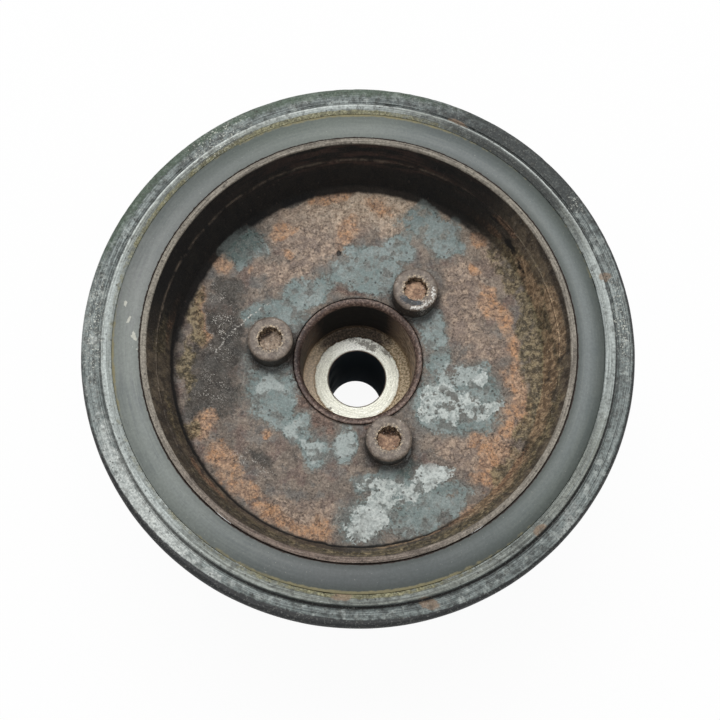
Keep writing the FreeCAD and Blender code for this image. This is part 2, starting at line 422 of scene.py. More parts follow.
def cup_fields(piece):
    """Where paint, pale patches, rust, dust and soot lie on the cup, and where shade, shadow and light are
    painted on it.
    """
    points = places(piece)
    x = points[:, 0] + 2.6 * rough(points, 9.0, 5, seed=3)
    y = points[:, 1] + 2.6 * rough(points, 9.0, 5, seed=4)
    height = points[:, 2] - floor_height
    angle = np.degrees(np.arctan2(y, x))
    floor = on_floor(points)
    wall = (1 - floor) * ramp(height, 0, 1)
    # Stains, with painted shadow among the dark patches by the north-west wall
    stains = {name: floor * spots(x, y, patches) for name, patches in floor_patches.items()}
    east_edge = ramp(radii(points), 48.2, 50.4) * around(points, [(0, 38, 1.0)])
    stains["olive"] = np.maximum(stains["olive"], floor * east_edge)
    for name, patches in wall_patches.items():
        stains[name] += wall * spots(angle, height, patches)
    store(piece, **stains)
    # Painted light: the floor near the north wall is made paler, against the wall's shadow.
    store(piece,
          lit=floor * ramp(radii(points), 35, 48) * around(points, [(82, 30, 1.1)]),
          north=around(points, [(88, 30, 1.0)]) * ramp(height, 9, 14),
          hole=floor * spots(points[:, 0], points[:, 1], hole_patches))
    # Black up the north wall and on the floor by it is dark dirt with painted shade; the band at the wall's
    # foot is painted shade in the corner.
    black = around(points, black_stretches)
    foot = around(points, foot_stretches) * np.exp(-((height - 1.6) / 1.2) ** 2)
    foot *= ramp(radii(points), 51.2, 52.0)
    soot = black * (wall + floor * ramp(radii(points), 49.8, 52.4)) + foot
    blot_angle = angle + 2.5 * rough(points, 2.0, 4, seed=16)
    blot_height = height + 1.5 * rough(points, 2.0, 4, seed=17)
    blotted = spots(blot_angle, blot_height, wall_blot_patches)
    store(piece, soot=np.maximum(soot, 0.8 * wall * blotted))
    # Painted highlight: a pale line along the round at the east wall's foot.
    crease = np.exp(-((height - 1.2) / 0.5) ** 2) * ramp(radii(points), 51.0, 51.6)
    store(piece, crease=crease * around(points, [(8, 22, 1.0)]))
    middle = scratch[1]
    store(piece, scratched=floor * spots(points[:, 0], points[:, 1], [(middle[0], middle[1], 11, 6, 43)]))
    # Painted shadow: a dark ring round each bolt head, set off to the south; round the mouth, painted shade
    # with some dirt, darkest to the north-west.
    around_bolts = [np.hypot(points[:, 0] - c.x - 0.3, points[:, 1] - c.y + 0.8) for c in bolt_centres]
    painted_bolt_shadow = sum(np.exp(-((away - head_radius) / 1.2) ** 2) for away in around_bolts)
    mouth_shade_and_dirt = np.exp(-((radii(points) - spigot_radius) / 0.9) ** 2) * around(points, [(140, 60, 0.9)], 0.2)
    store(piece, grime=floor * np.clip(painted_bolt_shadow + 0.5 * mouth_shade_and_dirt, 0, 1))
    ledge = np.exp(-((points[:, 2] - (rim_height - ledge_depth)) / 0.45) ** 2)
    store(piece,
          ledge=wall * ledge * around(points, [(160, 40, 1.0), (85, 30, 0.7)]),
          wall=wall)
    top = ramp(points[:, 2], rim_height - 0.9, rim_height - 0.4)
    store(piece,
          rim=top,
          worn=around(points, [(180, 35, 1.0), (45, 30, 0.5), (315, 20, 0.4)]),
          reddish=around(points, [(255, 38, 1.0)]),
          hidden=1 - ramp(points[:, 2], floor_height - 1.2, floor_height - 0.9))


def hub_cup():
    """The cup with its bolt holes."""
    piece = turned("cup_body", outline(cup_corners(), 0.6, fine_from=floor_height - 1), 512, cup_relief)
    drilled(piece, web_hole, cup_bottom - 1, floor_height + 1)
    cup_fields(piece)
    return piece


# Rubber ring

def rubber_corners():
    """Bonded ring: crowned face, thin seam at the cup, dished back."""
    middle = (cup_radius + rubber_radius) / 2
    shoulder = rim_height - rubber_front_drop
    outer_top = rim_height - rubber_outer_drop
    return [
        (cup_radius, rubber_back, 0),
        (middle, rubber_back + rubber_back_dish, 6.0),
        (rubber_radius, rubber_back, 0),
        (rubber_radius, outer_top, 0.15),
        (middle, rubber_crown, 12.0),
        (cup_radius + rubber_seam_width, shoulder, 0.15),
        (cup_radius, shoulder - rubber_seam_depth, 0),
    ]


def rubber_relief(points):
    """Barely uneven, with a fine moulded texture."""
    return np.clip(0.05 + 0.06 * rough(points, 14.0, 3, seed=5), 0, 0.2)


def rubber_ring():
    """The rubber with its dust and scuffs, its painted shade and its painted highlight."""
    piece = turned("rubber_body", outline(rubber_corners(), 0.6), 512, rubber_relief)
    points = places(piece)
    radius = radii(points)
    # Painted shade in stretches: darker to the south, where the crown's outer shoulder turns from the light,
    # and to the north-east and north-west, against the lamp's sheen.
    store(piece,
          dust=around(points, [(182, 32, 0.8), (224, 24, 0.4), (90, 20, 0.25)]),
          damp=around(points, [(275, 34, 1.0), (45, 30, 0.5), (135, 28, 0.75), (230, 24, 0.25)]),
          mauve=around(points, [(168, 26, 1.0), (265, 20, 0.5)]),
          green=around(points, [(112, 32, 1.0), (30, 20, 0.4), (320, 24, 0.4)]))
    # Painted shade at both edges and a painted highlight along the middle, where the crown turns from and
    # towards the light.
    sides = ramp(radius, rubber_radius - 3.2, rubber_radius - 0.3) + 1
    sides -= ramp(radius, cup_radius + 0.3, cup_radius + 2.4)
    dirty = around(points, [(90, 40, 0.7), (270, 40, 0.8), (185, 14, 0.7), (20, 16, 0.3)], 0.25)
    middle = np.exp(-((radius - (cup_radius + rubber_radius) / 2 + 0.4) / 1.5) ** 2)
    store(piece,
          middle=middle * around(points, [(8, 50, 1.0), (215, 30, 0.3)]),
          sides=sides * around(points, [(5, 58, 0.9), (290, 50, 0.8)], 0.3),
          dirt=ramp(radius, rubber_radius - 1.6, rubber_radius - 0.2) * dirty,
          seam=1 - ramp(radius, cup_radius + 0.2, cup_radius + 0.75))
    scuffs = [(-60.5, 1.5, 0.7, 1.6, 8), (-61.5, 6, 0.4, 1.4, -40),
              (-63, 10.5, 0.5, 1.0, 10), (-60, -2, 1.2, 0.5, 20)]
    scuff_x = points[:, 0] + 0.8 * rough(points, 1.6, 4, seed=12)
    scuff_y = points[:, 1] + 0.8 * rough(points, 1.6, 4, seed=13)
    store(piece, scuff=spots(scuff_x, scuff_y, scuffs))
    return piece


# Belt ring

# Degrees from +X, half width in degrees, share of the turned relief that is filled with dirt
silted_stretches = [(110, 50, 0.9), (15, 30, 0.5), (180, 30, 0.5), (215, 25, 0.25)]


def groove_corners():
    """Corners of each V groove in turn from the back. The end flanks run out to the two walls."""
    tip = ring_radius - rib_drop
    foot = tip - (rib_pitch - rib_tip_width) / 2 / groove_slope
    edges = [ring_radius] + [tip] * (rib_count - 1) + [ring_radius - rear_wall_drop]
    track_top = lip_height - step_depth - front_wall
    corners = []
    for i in reversed(range(rib_count)):
        centre = track_top - (i + 0.5) * rib_pitch
        corners += [
            (edges[i + 1], centre - (edges[i + 1] - foot) * groove_slope, 0.25),
            (foot, centre, 0.2),
            (edges[i], centre + (edges[i] - foot) * groove_slope, 0.25),
        ]
    return corners


def ring_corners():
    """Worn lip, turned relief, flange face with a rounded edge, ribbed track."""
    lip_inner = rubber_radius + lip_bevel
    lip_outer = lip_inner + lip_width
    foot = lip_outer + step_lean
    face = lip_height - step_depth
    rear = ring_radius - rear_wall_drop
    return [
        (rubber_radius, ring_back, edge_break),
        (rear - rear_bevel, ring_back, 0.2),
        (rear, ring_back + rear_bevel, 0.2),
    ] + groove_corners() + [
        (ring_radius, face, flange_edge_round),
        (foot + relief_width, face, 0.15),
        (foot + relief_width, face - relief_depth, 0.1),
        (foot, face - relief_depth, 0.1),
        (lip_outer, lip_height, 0.3),
        (lip_inner, lip_height, 0.3),
        (rubber_radius, rim_height - rubber_outer_drop, 0.1),
    ]


def ring_relief(points):
    """Nicks and corrosion pits, deepest on the flange face."""
    pits = ramp(rough(points, 3.0, 4, seed=6), 0.1, 0.7)
    waves = 0.04 + 0.04 * rough(points, 12.0, 3, seed=7)
    face = ramp(points[:, 2], lip_height - step_depth - 1.5, lip_height - step_depth - 0.5)
    return np.clip(waves + 0.12 * pits * face, 0, 0.3)


ring_rust_patches = [
    (67.4, 19, 2.0, 1.3, 15), (18, -68.6, 3.0, 1.6, -15), (-4.3, -67, 2.6, 1.0), (47, -50, 2.0, 1.4, 40),
    (28, 64, 3.0, 1.0, -25),
]
ring_fleck_patches = [(-40, 58, 9, 4, 35), (-71, 5, 2.5, 14), (60, 40, 2, 3, 32), (71, 7, 2, 11, 6)]


def belt_ring():
    """The iron ring with its bright stretches of painted reflection, its silted relief and its black track.
    """
    face_height = lip_height - step_depth
    piece = turned("ring_body", outline(ring_corners(), 0.45, fine_from=face_height - 2), 512, ring_relief)
    points = places(piece)
    radius = radii(points)
    relief_edge = rubber_radius + lip_bevel + lip_width + step_lean + relief_width
    silted = around(points, silted_stretches)
    silted *= (radius > rubber_radius + lip_bevel) & (radius < relief_edge + 0.05)
    below = np.clip(face_height - points[:, 2], 0, relief_depth)
    points[:, 2] += silted * below * (points[:, 2] > face_height - relief_depth - 0.3)
    piece.data.vertices.foreach_set("co", (points * MM).ravel())
    height = points[:, 2]
    shaded = [(47, 14, 1.3), (98, 26, 0.28), (70, 14, 0.4), (25, 8, 0.3), (270, 28, 0.42),
              (140, 24, 0.4), (312, 20, 0.4)]
    # Painted reflection: the flange's bright stretches and the lip's polished ones lie where they would
    # mirror the light. Painted shade: darker stretches, darkest to the north-east.
    store(piece,
          bright=around(points, [(180, 20, 0.32), (222, 26, 0.68), (355, 18, 0.3), (318, 20, 0.4)]),
          polish=around(points, [(4, 24, 1.0), (182, 28, 1.0), (214, 18, 0.9), (95, 24, 0.7)]),
          shade=around(points, shaded),
          lip=ramp(height, face_height + 0.5, face_height + 1.0))
    lip_outer = rubber_radius + lip_bevel + lip_width
    groove = ramp(radius, lip_outer + 0.1, lip_outer + 0.4)
    groove *= 1 - ramp(height, face_height + 0.2, face_height + 1.0)
    groove *= 1 - ramp(radius, relief_edge - 0.35, relief_edge - 0.1)
    rounded = ramp(radius + 1.6 * around(points, [(252, 42, 1.0)]), ring_radius - 1.5, ring_radius - 0.3)
    rounded *= around(points, [(0, 50, 0.8), (265, 75, 1.0)], 0.2)
    below_face = 1 - ramp(height, face_height - 1.6, face_height - 0.8)
    # Painted highlight: a bright line along the lip's rounded outer edge, strongest to the north-west and
    # north-east.
    painted_highlight_line = np.exp(-((radius - lip_outer + 0.3) / 0.25) ** 2)
    painted_highlight_line *= ramp(height, face_height + 1.0, face_height + 1.3)
    inner_silt = 1 - ramp(radius, rubber_radius + 0.8, rubber_radius + 1.5)
    on_top = ramp(height, face_height - 1.0, face_height - 0.6)
    store(piece,
          groove=groove * (1 - 0.95 * silted),
          line=painted_highlight_line * around(points, [(135, 32, 1.0), (45, 26, 1.0), (90, 16, 0.4), (220, 30, 0.5)]),
          silt=inner_silt * around(points, [(98, 30, 1.0), (270, 30, 0.8), (150, 30, 0.6), (215, 25, 0.4)]),
          track=np.clip(rounded + below_face, 0, 1),
          rust=on_top * spots(points[:, 0], points[:, 1], ring_rust_patches),
          fleck=on_top * spots(points[:, 0], points[:, 1], ring_fleck_patches),
          ribs=1 - ramp(height, face_height - 3.2, face_height - 2.4),
          rib_tip=ramp(radius, ring_radius - rib_drop - 0.7, ring_radius - rib_drop - 0.3))
    # Darker green towards the north and the flange's outer edge.
    greenish = around(points, [(104, 40, 1.1), (145, 25, 0.7)])
    store(piece, moss=greenish * (0.3 + 0.7 * ramp(radius, ring_radius - 4, ring_radius - 1)))
    return piece


# Nose hub

def nose_corners():
    """Sleeve, flange and centring spigot, with the bolt's seat deep in its pocket."""
    return [
        (bore_radius + bore_bevel, 0, 0),
        (nose_radius - nose_bevel, 0, 0.2),
        (nose_radius, nose_bevel, 0.2),
        (nose_radius, nose_height, 0.8),
        (flange_radius - flange_bevel, nose_height, 0.2),
        (flange_radius, nose_height + flange_bevel, 0.2),
        (flange_radius, cup_bottom - flange_bevel, 0.2),
        (flange_radius - flange_bevel, cup_bottom, 0),
        (spigot_radius, cup_bottom, 0),
        (spigot_radius, lip_top, 0.3),
        (pocket_radius, lip_top, lip_round),
        (pocket_radius, seat_height - seat_relief, 0.6),
        (seat_radius + seat_relief, seat_height - seat_relief, 0.1),
        (seat_radius, seat_height, 0.08),
        (bore_radius + bore_bevel, seat_height, 0.1),
        (bore_radius, seat_height - bore_bevel, 0.1),
        (bore_radius, bore_bevel, 0),
    ]


def nose_relief(points):
    """Rusty skin, but the seat and the bore stay turned true."""
    radius = radii(points)
    turned_faces = 1 - ramp(radius, seat_radius - 0.1, seat_radius + 0.5)
    back_face = 1 - ramp(points[:, 2], 0.2, 0.6)
    depth = 0.06 + 0.06 * rough(points, 4.0, 4, seed=8) + 0.03 * rough(points, 1.2, 2, seed=9)
    return np.clip(depth, 0, 0.25) * (1 - 0.95 * np.maximum(turned_faces, back_face))


def nose_hub():
    """The hub behind the web, whose pocket holds the bright seat."""
    piece = turned("nose_body", outline(nose_corners(), 0.5, fine_from=seat_height - 1), 256, nose_relief)
    drilled(piece, thread_hole, nose_height - 1, cup_bottom + 1)
    points = places(piece)
    radius = radii(points)
    height = points[:, 2]
    wobble = 0.3 * rough(points, 1.2, 4, seed=10)
    level = ramp(height, seat_height - 0.25, seat_height - 0.1)
    level *= 1 - ramp(height, seat_height + 0.2, seat_height + 0.5)
    seat = level * (1 - ramp(radius + wobble, seat_radius - 0.25, seat_radius + 0.05))
    store(piece, seat=seat)
    annulus = ramp(radius, seat_radius - 0.3, seat_radius)
    annulus *= 1 - ramp(height, seat_height + 0.3, seat_height + 3.0)
    inside = 1 - ramp(radius, pocket_radius + 0.3, pocket_radius + 0.6)
    # Painted shade and light by direction: near black to the north in the pocket, darker to the west on its
    # wall, lip and seat, lighter to the west on the annulus, lighter to the east on the wall and to the north
    # on the seat.
    store(piece,
          annulus=inside * annulus * ramp(height, seat_height - 1, seat_height - 0.6),
          wall=inside * ramp(height, seat_height + 0.5, seat_height + 2),
          lip=ramp(height, lip_top - 1.9, lip_top - 1.2),
          bore=1 - ramp(radius, bore_radius + 0.05, bore_radius + 0.3),
          black=around(points, [(92, 40, 1.6), (130, 20, 0.15)]),
          west=around(points, [(180, 40, 1.0)]),
          east=around(points, [(0, 38, 1.0)]),
          north=around(points, [(90, 40, 1.0)]),
          gleam=around(points, [(196, 26, 1.0), (150, 16, 0.25)]))
    nicks = [(3.5, 10.4, 4.6, 1.3, -18), (-2, 12.6, 3.5, 0.6, 5),
             (9.5, 8.2, 1.0, 2.2, 38), (-8.5, -9.5, 0.8, 0.8)]
    nick_x = points[:, 0] + 1.0 * rough(points, 1.2, 4, seed=14)
    nick_y = points[:, 1] + 1.0 * rough(points, 1.2, 4, seed=15)
    back = 1 - ramp(height, seat_height + 8, seat_height + 14) * inside
    seam = ramp(radius, spigot_radius - 0.3, spigot_radius - 0.05) * ramp(height, cup_bottom, cup_bottom + 1)
    store(piece,
          nick=level * spots(nick_x, nick_y, nicks),
          back=back - (1 - inside) * ramp(height, 62, 64),
          seam=seam * around(points, [(100, 50, 1.0)]))
    return piece


# Bolts

# For each bolt: height of the dirt in its socket, its rise to the south, a lump's place and height, and
# the side where a crescent of painted shadow lies on the dirt, in degrees from +X, with how far from the
# middle it starts
socket_fills = {
    "bolt_1": (1.2, 0.3, -0.3, 0.3, 0.4, 100, 2.1),
    "bolt_2": (1.0, 0.9, 0.7, -0.6, 1.0, 130, 1.2),
    "bolt_3": (1.0, 0.4, 0.4, 2.2, -1.3, 85, 1.2),
}
chip_patches = {
    "bolt_1": [(-2.0, -3.5, 2.6, 1.0, -22), (0.6, -4.3, 1.6, 0.7)],
    "bolt_2": [],
    "bolt_3": [],
}
bare_patches = {
    "bolt_1": [(2.8, -4.6, 2.2, 0.9, 38), (5.0, -1.5, 0.7, 2.2), (0.2, -5.6, 2.2, 0.5)],
    "bolt_2": [],
    "bolt_3": [],
}


def bolt_corners():
    """Half outline of a bolt standing on its axis, from its tip up to the foot of its socket."""
    return [
        (0, bolt_tip, 0),
        (shank_radius - tip_bevel, bolt_tip, 0.1),
        (shank_radius, bolt_tip + tip_bevel, 0),
        (shank_radius, floor_height, 0),
        (head_radius, floor_height, 0.2),
        (head_radius, bolt_top, head_round),
        (socket_radius, bolt_top, 0.25),
        (socket_radius, bolt_top - socket_depth, 0.4),
        (0, bolt_top - socket_depth, 0),
    ]


def star(angles, seed):
    """Share of the socket's radius at each angle: twelve worn points, no two alike."""
    wave = np.abs((angles * 12 / math.tau) % 1 - 0.5) * 2
    round_the_rim = np.stack([np.cos(angles), np.sin(angles), np.zeros(len(angles))], axis=1)
    uneven = 1 + rough(round_the_rim, 0.5, 2, seed=seed)
    return 1 - 0.1 * (1 - wave) * uneven + 0.05 * rough(round_the_rim, 0.7, 2, seed=seed + 1)


def bolt(name, centre):
    """One socket-head bolt with its thread, worn socket and the dirt in it."""
    fill, rise, lump_x, lump_y, lump_height, gone, shadow_from = socket_fills[name]
    seed = 20 + bolt_names.index(name)

    def relief(points):
        depth = 0.05 + 0.05 * rough(points, 3.0, 4, seed=seed)
        return np.clip(depth, 0, 0.2) * ramp(points[:, 2], floor_height, floor_height + 0.5)

    piece = turned(name + "_body", outline(bolt_corners(), 0.3, closed=False), 144, relief, closed=False)
    points = places(piece)
    radius = radii(points)
    angle = np.arctan2(points[:, 1], points[:, 0])
    height = points[:, 2]
    in_head = ramp(height, floor_height + 1, floor_height + 1.2)
    near_socket = in_head * (1 - ramp(radius, socket_radius + 0.1, socket_radius + 1.3))
    grow = 1 + near_socket * (star(angle, seed) - 1)
    threaded = ramp(height, bolt_tip, bolt_tip + 1.5) * (1 - ramp(height, cup_bottom - 1, cup_bottom))
    turn = (height / thread_pitch - angle / math.tau) % 1
    threaded *= ramp(radius, shank_radius - 0.5, shank_radius - 0.2)
    grow -= threaded * np.abs(turn - 0.5) * 2 * thread_depth / shank_radius
    points[:, :2] *= grow[:, None]
    foot = (1 - ramp(height, bolt_top - socket_depth + 0.1, bolt_top - socket_depth + 0.8)) * in_head
    foot *= 1 - ramp(radius, socket_radius - 0.2, socket_radius)
    lump = np.exp(-((points[:, 0] - lump_x) ** 2 + (points[:, 1] - lump_y) ** 2) / 2.2)
    dirt = fill - rise * points[:, 1] / socket_radius + lump_height * lump
    dirt += 0.25 * rough(points, 1.0, 3, seed=seed + 3)
    points[:, 2] += foot * dirt
    piece.data.vertices.foreach_set("co", (points * MM).ravel())
    socket = in_head * (1 - ramp(points[:, 2], bolt_top - 0.9, bolt_top - 0.3))
    toward = points[:, 0] * math.cos(math.radians(gone)) + points[:, 1] * math.sin(math.radians(gone))
    # Painted shade, near black, on the head's side, and a crescent of painted shadow on the dirt in the
    # socket.
    store(piece,
          socket=socket * (1 - ramp(radius, 4.0, 4.4)),
          foot=foot,
          gone=foot * ramp(toward + 0.5 * rough(points, 1.2, 3, seed=seed + 5), shadow_from, shadow_from + 0.7),
          beige=np.full(len(points), float(name == "bolt_2")),
          rim=in_head * np.exp(-((radius - socket_radius - 0.2) / 0.45) ** 2),
          side=1 - ramp(points[:, 2], bolt_top - 1.6, bolt_top - 0.5),
          chip=in_head * spots(points[:, 0], points[:, 1], chip_patches[name]),
          bare=in_head * spots(points[:, 0], points[:, 1], bare_patches[name]))
    piece.data.transform(Matrix.Translation(Vector((centre.x, centre.y, 0)) * MM))
    return piece


# Materials

def srgb(red, green, blue):
    """A colour of 0-255 screen values as linear values."""
    linear = [((v / 255 + 0.055) / 1.055) ** 2.4 if v > 10 else v / 255 / 12.92 for v in (red, green, blue)]
    return (*linear, 1)


class Surface:
    """A material built up in layers, the lowest first. Places in it are in millimetres."""

    def __init__(self, name, colour, roughness, metal=0.0):
        self.material = bpy.data.materials.new(name)
        self.material.use_nodes = True
        self.tree = self.material.node_tree
        self.shader = self.tree.nodes["Principled BSDF"]
        metres = self.node("TexCoord").outputs["Object"]
        self.place = self.node("VectorMath", {0: metres, 1: (1000,) * 3}, operation="MULTIPLY").outputs[0]
        self.colour = colour
        self.roughness = roughness
        self.metal = metal
        self.height = 0.0

    def node(self, kind, inputs={}, **settings):
        """A node with its settings, its inputs set to values or linked to other nodes."""
        node = self.tree.nodes.new("ShaderNode" + kind)
        for name, value in settings.items():
            setattr(node, name, value)
        for key, value in inputs.items():
            self.feed(node.inputs[key], value)
        return node

    def feed(self, socket, value):
        """Links an output to a socket, or sets the socket's value."""
        if isinstance(value, bpy.types.NodeSocket):
            self.tree.links.new(value, socket)
        else:
            socket.default_value = value

    def read(self, name, share=None):
        """A number stored on the mesh, or a share of it."""
        stored = self.node("Attribute", attribute_name=name).outputs["Fac"]
        return stored if share is None else self.times(stored, share)

    def grain(self, size, detail=4.0, vector=None, distortion=0.0):
        """Noise from 0 to 1 whose features are size millimetres across."""
        inputs = {"Vector": vector or self.place, "Scale": 1 / size, "Detail": detail, "Roughness": 0.6,
                  "Distortion": distortion}
        return self.node("TexNoise", inputs).outputs["Fac"]

    def cells(self, size):
        """Distance from the nearest of scattered points about size millimetres apart."""
        return self.node("TexVoronoi", {"Vector": self.place, "Scale": 1 / size}).outputs["Distance"]

    def math(self, operation, a, b=0.0):
        """What the operation gives for one or two numbers."""
        return self.node("Math", {0: a, 1: b}, operation=operation).outputs[0]

    def times(self, product, *factors):
        """The product of two or more numbers."""
        for factor in factors:
            product = self.math("MULTIPLY", product, factor)
        return product

    def plus(self, total, *terms):
        """The sum of two or more numbers."""
        for term in terms:
            total = self.math("ADD", total, term)
        return total

    def rest(self, value):
        """What is left of 1."""
        return self.math("SUBTRACT", 1.0, value)

    def swing(self, value, amount=1.0):
        """How far a grain is from its middle, 0.5, times an amount."""
        return self.times(self.math("SUBTRACT", value, 0.5), amount)

    def step(self, value, low, high, top=1.0):
        """0 below low, top above high, smooth between."""
        inputs = {"Value": value, "From Min": low, "From Max": high, "To Max": top}
        return self.node("MapRange", inputs, interpolation_type="SMOOTHSTEP").outputs["Result"]

    def stain(self, name, grain, ragging, low, high, top=1.0):
        """A step of a stored number whose edge a grain makes ragged."""
        return self.step(self.plus(self.read(name), self.swing(grain, ragging)), low, high, top)

    def blend(self, factor, a, b):
        """A mix of two numbers."""
        return self.node("Mix", {0: factor, 2: a, 3: b}, data_type="FLOAT").outputs[0]

    def tint(self, factor, a, b, mode="MIX"):
        """A mix of two colours, each another node's or (red, green, blue) of 0-255 screen values."""
        a, b = [srgb(*c) if isinstance(c, tuple) else c for c in (a, b)]
        return self.node("Mix", {0: factor, 6: a, 7: b}, data_type="RGBA", blend_type=mode).outputs[2]

    def shades(self, grain, low, high, a, b):
        """Two colours mixed by a grain."""
        return self.tint(self.step(grain, low, high), a, b)

    def turning(self, along, across):
        """Places that stretch along the turning marks: along round the axis, across over the outline."""
        x, y, z = self.node("SeparateXYZ", {0: self.place}).outputs
        flat = self.node("CombineXYZ", {0: x, 1: y})
        radius = self.node("VectorMath", {0: flat.outputs[0]}, operation="LENGTH").outputs["Value"]
        outline_place = self.times(self.plus(radius, self.times(z, 1.3)), across)
        u = self.times(self.math("DIVIDE", x, radius), along)
        v = self.times(self.math("DIVIDE", y, radius), along)
        return self.node("CombineXYZ", {0: u, 1: v, 2: outline_place}).outputs[0]

    def gritty(self, size, amount, detail=2.0):
        """Lightens and darkens all the layers so far by a fine grain."""
        spread = self.step(self.grain(size, detail), 0.3, 0.7, 2 * amount)
        self.colour = self.tint(1.0, self.colour, self.plus(spread, 1 - amount), "MULTIPLY")

    def veins(self, size, width):
        """Thin crooked lines, 1 on the line."""
        return self.step(self.math("ABSOLUTE", self.swing(self.grain(size, 6, distortion=0.6))), width, 0.0)

    def circle_line(self, circle, width):
        """1 on an upright circle given as (x, y, radius), a little crooked, 0 a width away from it."""
        x, y, z = self.node("SeparateXYZ", {0: self.place}).outputs
        flat = self.node("CombineXYZ", {0: x, 1: y})
        centred = {0: flat.outputs[0], 1: (circle[0], circle[1], 0)}
        away = self.node("VectorMath", centred, operation="DISTANCE").outputs["Value"]
        crooked = self.plus(away, self.swing(self.grain(4.0, 3), 2.0))
        return self.step(self.math("ABSOLUTE", self.math("SUBTRACT", crooked, circle[2])), width, 0.0)

    def layer(self, factor, colour, roughness=None, metal=None, height=None):
        """Lays a colour over what is there, where factor is 1."""
        self.colour = self.tint(factor, self.colour, colour)
        if roughness is not None:
            self.roughness = self.blend(factor, self.roughness, roughness)
        if metal is not None:
            self.metal = self.blend(factor, self.metal, metal)
        if height is not None:
            self.height = self.blend(factor, self.height, height)

    def finish(self, bump):
        """Joins the layers to the shader, with the heights as bump in millimetres."""
        self.feed(self.shader.inputs["Base Color"], self.colour)
        self.feed(self.shader.inputs["Roughness"], self.roughness)
        self.feed(self.shader.inputs["Metallic"], self.metal)
        bumped = self.node("Bump", {"Height": self.height, "Distance": bump * MM, "Strength": 1.0})
        self.feed(self.shader.inputs["Normal"], bumped.outputs[0])
        return self.material


